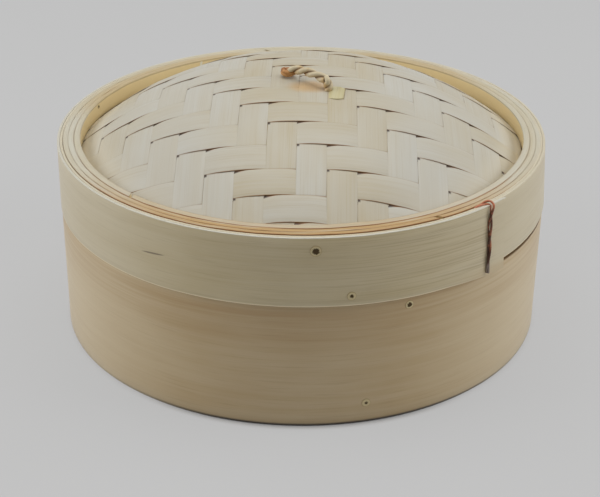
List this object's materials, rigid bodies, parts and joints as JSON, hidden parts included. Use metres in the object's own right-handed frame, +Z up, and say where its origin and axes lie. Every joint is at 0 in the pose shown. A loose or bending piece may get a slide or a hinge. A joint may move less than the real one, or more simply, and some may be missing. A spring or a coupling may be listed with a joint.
{
  "type": "bamboo steamer basket",
  "caption": "Round bamboo steamer basket with a slatted floor and a lift-off lid whose woven dome sits inside a hooped, stitched rim and carries a small loop handle.",
  "frame": {"origin": "centre of the ring that the basket stands on", "axes": "+Z up along the basket's axis, -Y towards the front with the pegs, +X to the right, with the stitch at the front right"},
  "size_m": [0.2533, 0.2541, 0.1414],
  "materials": {
    "base_bamboo": "scraped bamboo, fine lengthwise grain, satin",
    "lid_bamboo": "scraped bamboo, marked lengthwise grain, satin",
    "hoop_bamboo": "sawn bamboo edge, tan",
    "floor_bamboo": "split bamboo, satin",
    "woven_column": "thin pale bamboo strip, satin",
    "woven_row": "thin pale bamboo strip, satin",
    "peg_bamboo": "end-grain bamboo peg, dark",
    "stitch_wire": "tarnished copper wire",
    "handle_rattan": "twisted split bamboo, browned at its knot"
  },
  "bodies": {
    "basket": {"base_inner_band": "base_bamboo", "base_outer_band": "base_bamboo", "base_pegs": "peg_bamboo", "floor_bearer_left": "floor_bamboo", "floor_bearer_right": "floor_bamboo", "floor_lower_hoop": "hoop_bamboo", "floor_slat_01": "floor_bamboo", "floor_slat_02": "floor_bamboo", "floor_slat_03": "floor_bamboo", "floor_slat_04": "floor_bamboo", "floor_slat_05": "floor_bamboo", "floor_slat_06": "floor_bamboo", "floor_slat_07": "floor_bamboo", "floor_slat_08": "floor_bamboo", "floor_slat_09": "floor_bamboo", "floor_slat_10": "floor_bamboo", "floor_slat_11": "floor_bamboo", "floor_upper_hoop": "hoop_bamboo"},
    "lid": {"dome_column_01": "woven_column", "dome_column_02": "woven_column", "dome_column_03": "woven_column", "dome_column_04": "woven_column", "dome_column_05": "woven_column", "dome_column_06": "woven_column", "dome_column_07": "woven_column", "dome_column_08": "woven_column", "dome_column_09": "woven_column", "dome_column_10": "woven_column", "dome_column_11": "woven_column", "dome_column_12": "woven_column", "dome_column_13": "woven_column", "dome_column_14": "woven_column", "dome_column_15": "woven_column", "dome_column_16": "woven_column", "dome_row_01": "woven_row", "dome_row_02": "woven_row", "dome_row_03": "woven_row", "dome_row_04": "woven_row", "dome_row_05": "woven_row", "dome_row_06": "woven_row", "dome_row_07": "woven_row", "dome_row_08": "woven_row", "dome_row_09": "woven_row", "dome_row_10": "woven_row", "dome_row_11": "woven_row", "dome_row_12": "woven_row", "dome_row_13": "woven_row", "dome_row_14": "woven_row", "dome_row_15": "woven_row", "dome_row_16": "woven_row", "handle_knot": "handle_rattan", "handle_tail": "handle_rattan", "lid_hoop_inner": "hoop_bamboo", "lid_hoop_middle": "hoop_bamboo", "lid_hoop_outer": "hoop_bamboo", "lid_hoop_under": "hoop_bamboo", "lid_outer_band": "lid_bamboo", "lid_pegs": "peg_bamboo", "lid_stitch": "stitch_wire"},
    "handle": {"handle_loop": "handle_rattan"}
  },
  "joints": [
    {"name": "lid_lift", "type": "slide", "parent": "basket", "child": "lid", "axis": [0, 0, 1], "range_m": [0, 0.12]},
    {"name": "handle_swing", "type": "hinge", "parent": "lid", "child": "handle", "pos_m": [0.0028, -0.01, 0.13559], "axis": [0.7809, -0.6247, 0], "range_deg": [-60, 60]}
  ]
}
